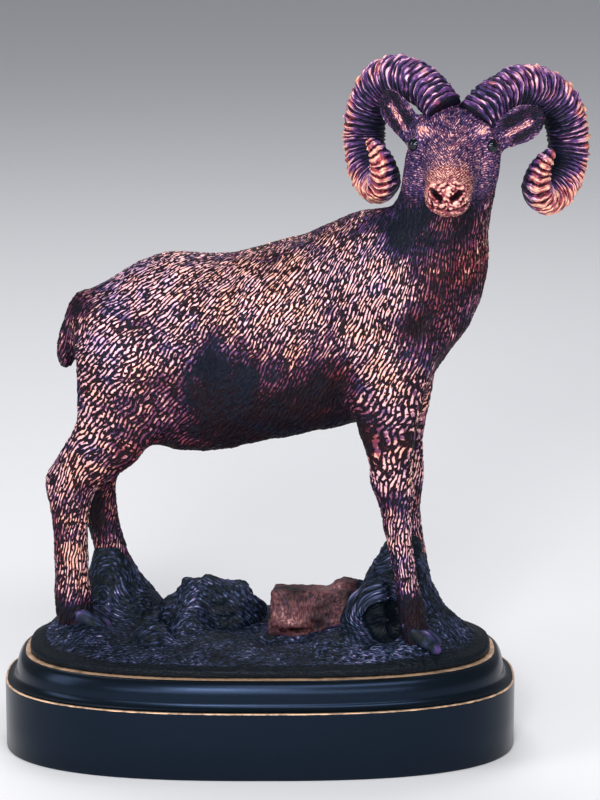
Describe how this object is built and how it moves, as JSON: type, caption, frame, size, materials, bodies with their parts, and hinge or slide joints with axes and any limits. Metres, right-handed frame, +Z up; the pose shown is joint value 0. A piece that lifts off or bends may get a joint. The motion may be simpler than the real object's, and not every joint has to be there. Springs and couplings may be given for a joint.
{
  "type": "ram statue",
  "caption": "Bighorn ram standing on rocky ground with its head turned and curled ridged horns, on a black oval plinth with gold lines.",
  "frame": {"origin": "centre of the plinth's underside", "axes": "+Z up, +X along the plinth from the ram's tail to its chest, and the ram looks along -Y"},
  "size_m": [0.1936, 0.0923, 0.2293],
  "materials": {
    "ram_casting": "cast resin with a dark patina and rubbed copper highlights",
    "plinth": "satin black with gold lines"
  },
  "bodies": {
    "root": {"ram_casting": "ram_casting", "plinth": "plinth"}
  },
  "joints": []
}
